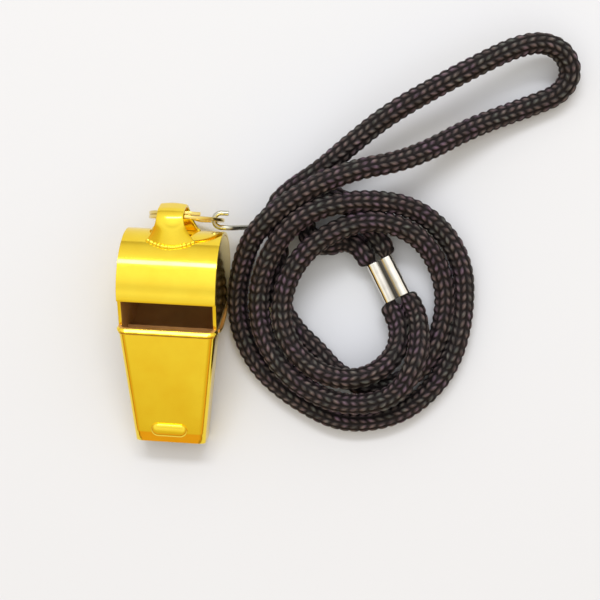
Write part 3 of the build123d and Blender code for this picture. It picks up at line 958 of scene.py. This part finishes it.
class WHISTLE_OT_ring(bpy.types.Operator):
    """Split ring of flat wire, one and a half turns, with a step between its leaves"""

    bl_idname = "whistle.ring"
    bl_label = "Split ring"

    def execute(self, context):
        sizes = context.scene.lug_sizes
        level = (sizes.ring_leaf + sizes.ring_gap) / 2
        half_band, half_leaf = sizes.ring_band / 2, sizes.ring_leaf / 2
        corner = 0.16 * MM
        section = []
        for side_a, side_b, start in ((1, 1, 0), (-1, 1, 90), (-1, -1, 180), (1, -1, 270)):
            section += arc(corner, math.radians(start), math.radians(start + 90), 3,
                           side_a * (half_band - corner), side_b * (half_leaf - corner))
        rings = []
        steps = 180
        for number in range(steps + 1):
            degrees = RING_START + RING_SWEEP * number / steps
            height = level * (2 * eased((degrees - RING_STEP) / RING_STEP_RUN) - 1)
            out = math.radians(degrees)
            ring = []
            for a, b in section:
                radius = sizes.ring_mean + a
                ring.append(Vector((sizes.ring_x + radius * math.cos(out), sizes.ring_y - height - b,
                                    sizes.ring_z + radius * math.sin(out))))
            rings.append(ring)
        piece = loft("flat_wire_ring", rings, closed=True)
        smooth(piece, 50.0)
        tone = context.scene.whistle_finishes.ring
        brass = plated("plated_ring_wire", tone, darker(tone, 0.85), 0.12, 0.08)
        hand_over(piece, brass, "ring", "ring_brass", "split_ring")
        return {"FINISHED"}


def half_width(sizes, reach):
    """Half width of the body at a distance in front of the barrel's axis."""
    taper = (sizes.body_width - sizes.mouth_width) / 2 / (sizes.mouth_reach - sizes.window_edge)
    return sizes.body_width / 2 - taper * max(reach - sizes.window_edge, 0.0)


class WHISTLE_OT_barrel(bpy.types.Operator):
    """Barrel wall with the window's lip, and the two side plates"""

    bl_idname = "whistle.barrel"
    bl_label = "Barrel and side plates"

    def band(self, sizes):
        """Sheet bent round the side plates."""
        half = sizes.body_width / 2
        profile = arc(sizes.barrel_radius, sizes.lip_angle + math.pi / 2, sizes.front_angle - 1.5 * math.pi, 120)
        piece = loft("barrel_wall", [[Vector((x, y, z)) for y, z in profile] for x in (-half, half)])
        turn_faces(piece, lambda place: Vector((0, place.y, place.z)))
        thicken(piece, sizes.sheet)
        soften(piece, sizes.rounding)
        return piece

    def plate(self, sizes, side, name):
        """Disc that closes the barrel, with the cheek of the mouthpiece."""
        disc = sizes.barrel_radius - sizes.sheet - PLATE_GAP
        top = sizes.barrel_radius + sizes.top_rise
        floor = top - sizes.mouth_height
        rim = top - sizes.cover_depth
        low_reach = sizes.mouth_reach + sizes.mouth_rake
        corner = -math.sqrt(disc ** 2 - floor ** 2)
        start = math.atan2(-corner, floor)
        points = arc(disc, start + math.pi / 2, 2.5 * math.pi, 96)
        points += [(-sizes.window_edge, rim),
                   (-sizes.mouth_reach - sizes.mouth_rake * sizes.cover_depth / sizes.mouth_height, rim),
                   (-low_reach, floor)]
        piece = chain(name, len(points), True)
        for vertex, (y, z) in zip(piece.data.vertices, points):
            vertex.co = (side * sizes.body_width / 2, y, z)
        take(piece)
        with editing():
            bpy.ops.mesh.edge_face_add()
            bpy.ops.mesh.select_all(action="SELECT")
            bpy.ops.mesh.bisect(plane_co=(0, -sizes.window_edge, 0), plane_no=(0, 1, 0))
        for vertex in piece.data.vertices:
            vertex.co.x = side * half_width(sizes, -vertex.co.y)
        turn_faces(piece, lambda place: Vector((side, 0, 0)))
        thicken(piece, sizes.sheet)
        soften(piece, sizes.rounding)
        return piece

    def execute(self, context):
        sizes = context.scene.whistle_sizes
        gold = gold_plate()
        wall = self.band(sizes)
        lay_down(wall)
        hand_over(wall, gold, "whistle", "gold", "barrel_band")
        axis = Vector((0, sizes.barrel_y, sizes.barrel_radius))
        front = axis.y - 0.9 * sizes.barrel_radius
        # Painted shade: the dull finish goes on the wall's faces inside the barrel and under the cover, and on the
        # plates' inward faces.
        under_cover = Vector((0, 0.75, 0.75))
        paint_shade_faces(wall, lambda place: under_cover if place.y < front
                    else Vector((0, axis.y - place.y, axis.z - place.z)).normalized())
        for side, name, node in ((-1, "left_plate", "side_plate_left"), (1, "right_plate", "side_plate_right")):
            plate = self.plate(sizes, side, name)
            lay_down(plate)
            hand_over(plate, gold, "whistle", "gold", node)
            paint_shade_faces(plate, lambda place: Vector((-side, 0, 0)))
        return {"FINISHED"}


class WHISTLE_OT_mouthpiece(bpy.types.Operator):
    """Cover with its hem, bent end and bite ridge, and the finish of the floor and the windway ramp, with the dull
    painted-shade finish on the cover's rear faces, the ramp and the floor's upper faces
    """

    bl_idname = "whistle.mouthpiece"
    bl_label = "Mouthpiece"

    def section(self, sizes, reach, lift, share=1.0):
        """Cross section of the cover at a reach, lifted outwards; share lowers its top towards the mouth."""
        half = half_width(sizes, reach) + lift
        top = sizes.barrel_radius + sizes.top_rise
        rim = top - sizes.cover_depth
        radius = sizes.edge_radius + lift
        right = [(half, rim), *arc(radius, 0.0, math.pi / 2, 10, half - radius, top + lift - radius)]
        flat = half - radius
        right += [(flat * part, top + lift) for part in (0.66, 0.33)]
        section = right + [(0.0, top + lift)] + [(-x, z) for x, z in reversed(right)]
        return [(x, rim + (z - rim) * share) for x, z in section]

    def cover(self, sizes):
        """Pan with rounded sides and a bent mouth end."""
        top = sizes.barrel_radius + sizes.top_rise
        bend = sizes.mouth_reach - sizes.bevel_length
        stations = [(sizes.window_edge + (bend - sizes.window_edge) * number / 10, 0.0) for number in range(11)]
        stations += [(bend + sizes.bevel_length * part, part) for part in (0.06, 0.5, 1.0)]
        rings = []
        for reach, part in stations:
            drop = sizes.bevel_drop * part
            share = 1.0 - drop / sizes.cover_depth
            ring = []
            for x, z in self.section(sizes, reach, 0.0, share):
                rake = sizes.mouth_rake * (top - z) / sizes.mouth_height * part
                ring.append(Vector((x, -reach - rake, z)))
            rings.append(ring)
        piece = loft("mouth_cover", rings)
        turn_faces(piece, lambda place: Vector((0, 0, 1)))
        thicken(piece, sizes.sheet)
        soften(piece, sizes.rounding, 30.0)
        return piece

    def hem(self, sizes):
        """Folded hem at the window: a slanted rear face, a flat back and a thin second fold in front of it."""
        profiles = {
            "hem": ((0.0, -0.5), (0.0, -0.35), (0.39, 1.0), (0.62, 1.0), (0.74, 0.45), (0.74, -0.3)),
            "fold": ((0.82, -0.3), (0.86, 0.5), (0.96, 0.5), (1.04, -0.3)),
        }
        strips = []
        for name, profile in profiles.items():
            rings = []
            for forward, lift in profile:
                reach = sizes.window_edge + sizes.hem_length * forward
                rings.append([Vector((x, -reach, z)) for x, z in self.section(sizes, reach, sizes.hem_height * lift)])
            strip = loft(name, rings)
            turn_faces(strip, lambda place: Vector((0, 0, 1)))
            thicken(strip, 0.06 * MM)
            soften(strip, 0.03 * MM, 25.0, 2)
            strips.append(strip)
        return strips

    def ridge(self, sizes):
        """Domed bite ridge."""
        top = sizes.barrel_radius + sizes.top_rise
        radius = sizes.ridge_width / 2
        run = sizes.ridge_length / 2 - radius
        rings = []
        for inset, rise in ((0.0, -0.3), (0.0, 0.15), (0.03, 0.38), (0.10, 0.58), (0.21, 0.75), (0.36, 0.88),
                            (0.55, 0.96), (0.78, 1.0)):
            ring = []
            reach = radius * (1 - inset)
            for side, turn in ((1, 0.0), (-1, math.pi)):
                end = arc(reach, turn - math.pi / 2, turn + math.pi / 2, 16, side * run, -sizes.ridge_place)
                ring += [Vector((x, y, top + sizes.ridge_height * rise)) for x, y in end]
            rings.append(ring)
        piece = loft("bite_ridge", rings, closed=True)
        smooth(piece, 50.0)
        return piece

    def execute(self, context):
        sizes = context.scene.whistle_sizes
        gold = gold_plate()
        piece = join([self.cover(sizes), *self.hem(sizes), self.ridge(sizes)])
        lay_down(piece)
        hand_over(piece, gold, "whistle", "gold", "mouthpiece_cover")
        # Painted shade: the cover's rear faces at the window, the windway ramp and the floor's upper faces get the
        # dull finish.
        rear = Vector((0, math.cos(sizes.pitch), math.sin(sizes.pitch)))
        window = sizes.barrel_y - 2 * sizes.window_edge
        paint_shade_faces(piece, lambda place: rear if place.y > window else Vector(), REAR_FACING)
        for node, finish in (("mouthpiece_floor", gold), ("windway_ramp", dull_inside())):
            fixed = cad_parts[node]
            fixed.data.materials.clear()
            fixed.data.materials.append(finish)
        upward = Vector((0, -math.sin(sizes.pitch), math.cos(sizes.pitch)))
        paint_shade_faces(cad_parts["mouthpiece_floor"], lambda place: upward)
        return {"FINISHED"}


class WHISTLE_OT_lug(bpy.types.Operator):
    """Waisted lanyard lug and the solder at its feet"""

    bl_idname = "whistle.lug"
    bl_label = "Lug"

    def strap_line(self, sizes, body):
        """Side view of the strap's outside, from the upper foot round to the lower one."""
        half = sizes.opening / 2 + sizes.strap
        foot = math.sqrt(body.barrel_radius ** 2 - half ** 2) - FOOT_SINK
        end = body.barrel_radius + sizes.height
        upper = [(foot + (end - sizes.corner - foot) * part / 8, half) for part in range(8)]
        upper += arc(sizes.corner, math.pi / 2, 0.0, 12, end - sizes.corner, half - sizes.corner)
        return upper + [(y, -z) for y, z in reversed(upper)]

    def foot_place(self, sizes, body, share):
        """Where the domed foot meets the barrel, at a share of the half width: distance behind the axis and height."""
        height = (sizes.opening / 2 + sizes.strap + CROWN_LIFT * (sizes.foot_crown - sizes.crown)
                  - sizes.foot_crown * share * share)
        return math.sqrt(body.barrel_radius ** 2 - height ** 2), height

    def strap(self, sizes, body):
        """Sheet strap, waisted towards its tip and slightly domed across."""
        line = self.strap_line(sizes, body)
        foot = line[0][0] + FOOT_SINK
        centre_y = body.barrel_radius + sizes.height - sizes.corner
        rings = []
        count = 12
        for number in range(count + 1):
            share = 2 * number / count - 1
            ring = []
            for y, z in line:
                rise = 1 - min(max((y - foot) / sizes.flare, 0.0), 1.0)
                half = sizes.tip_width / 2 + (sizes.foot_width - sizes.tip_width) / 2 * rise ** 2
                out = Vector((0, max(y - centre_y, 0.0), z)).normalized() if z else Vector((0, 1, 0))
                crown = sizes.crown + (sizes.foot_crown - sizes.crown) * rise
                set_back = (self.foot_place(sizes, body, share)[0] - foot) * rise * rise
                ring.append(Vector((half * share, y + set_back, z))
                            + out * (CROWN_LIFT * (crown - sizes.crown) - crown * share * share))
            rings.append(ring)
        piece = loft("lug_strap", rings)
        turn_faces(piece, lambda place: Vector((0, max(place.y - centre_y, 0.0), place.z)))
        thicken(piece, sizes.strap - sizes.crown)
        soften(piece, 0.12 * MM, 50.0)
        return piece

    def solder(self, sizes, body):
        """Run of solder at each foot, from balls that are melted together."""
        beads = []
        for side in (1, -1):
            for number in range(13):
                share = number / 6 - 1
                foot, height = self.foot_place(sizes, body, share)
                wander = noise.noise((number * 1.7, side * 2.0, 0.4))
                radius = sizes.solder_radius * (0.86 + 0.28 * wander)
                deselect()
                bpy.ops.mesh.primitive_uv_sphere_add(
                    segments=16, ring_count=10, radius=radius,
                    location=(share * sizes.foot_width * 0.45, foot, side * height))
                beads.append(bpy.context.object)
        take(join(beads))
        piece = named("solder_runs")
        bpy.ops.object.transform_apply(location=True, rotation=True, scale=True)
        apply_modifier(piece, "Melt", "REMESH", mode="VOXEL", voxel_size=0.11 * MM)
        apply_modifier(piece, "Flow", "SMOOTH", factor=0.5, iterations=5)
        take(piece)
        bpy.ops.object.shade_smooth()
        return piece

    def execute(self, context):
        sizes = context.scene.lug_sizes
        body = context.scene.whistle_sizes
        gold = gold_plate()
        strap = self.strap(sizes, body)
        lay_down(strap)
        hand_over(strap, gold, "whistle", "gold", "lanyard_lug")
        solder = self.solder(sizes, body)
        lay_down(solder)
        hand_over(solder, gold, "whistle", "gold", "lug_solder")
        return {"FINISHED"}


class WHISTLE_OT_pea(bpy.types.Operator):
    """Cork pea in the barrel"""

    bl_idname = "whistle.pea"
    bl_label = "Pea"

    def execute(self, context):
        sizes = context.scene.whistle_sizes
        orbit = sizes.barrel_radius - sizes.sheet - sizes.pea_radius - sizes.pea_gap
        deselect()
        bpy.ops.mesh.primitive_ico_sphere_add(subdivisions=6, radius=sizes.pea_radius, location=(0, 0, 0))
        piece = named("cork_pea")
        for vertex in piece.data.vertices:
            place = vertex.co / MM
            pit = max(noise.noise(place * 0.9) - 0.12, 0.0) * 0.55 + max(noise.noise(place * 2.3) - 0.2, 0.0) * 0.3
            vertex.co *= 1.0 - pit * MM / sizes.pea_radius
        take(piece)
        piece.location = (0, sizes.barrel_y, sizes.barrel_radius - orbit)
        bpy.ops.object.transform_apply(location=True, rotation=True, scale=True)
        bpy.ops.object.shade_smooth()
        hand_over(piece, corky("ground_cork", context.scene.whistle_finishes.cork), "pea", "cork", "pea")
        return {"FINISHED"}


class WHISTLE_PT_panel(bpy.types.Panel):
    """Whistle pieces, sizes and finishes"""

    bl_idname = "WHISTLE_PT_panel"
    bl_label = "Whistle"
    bl_space_type = "VIEW_3D"
    bl_region_type = "UI"
    bl_category = "Whistle"

    def draw(self, context):
        for operator in OPERATORS:
            self.layout.operator(operator.bl_idname)
        for group in GROUPS:
            box = self.layout.box()
            for key in GROUPS[group].__annotations__:
                box.prop(getattr(context.scene, group), key)


GROUPS = {
    "whistle_sizes": WhistleSizes,
    "lug_sizes": LugSizes,
    "lanyard_sizes": LanyardSizes,
    "whistle_finishes": Finishes,
    "whistle_stage": StageSettings,
}
OPERATORS = (
    WHISTLE_OT_stage,
    WHISTLE_OT_ferrule,
    WHISTLE_OT_clip,
    WHISTLE_OT_cords,
    WHISTLE_OT_ring,
    WHISTLE_OT_barrel,
    WHISTLE_OT_mouthpiece,
    WHISTLE_OT_lug,
    WHISTLE_OT_pea,
)


def register():
    for made in (*GROUPS.values(), *OPERATORS, WHISTLE_PT_panel):
        bpy.utils.register_class(made)
    for group, made in GROUPS.items():
        setattr(bpy.types.Scene, group, PointerProperty(type=made))


def unregister():
    for group in GROUPS:
        delattr(bpy.types.Scene, group)
    for made in (WHISTLE_PT_panel, *reversed(OPERATORS), *reversed(GROUPS.values())):
        bpy.utils.unregister_class(made)


def main():
    register()
    deselect()
    for operator in OPERATORS:
        group, name = operator.bl_idname.split(".")
        if getattr(getattr(bpy.ops, group), name)() != {"FINISHED"}:
            raise RuntimeError(f"{operator.bl_label} didn't finish")
    deselect()
    bpy.context.view_layer.update()


if __name__ == "__main__":
    main()
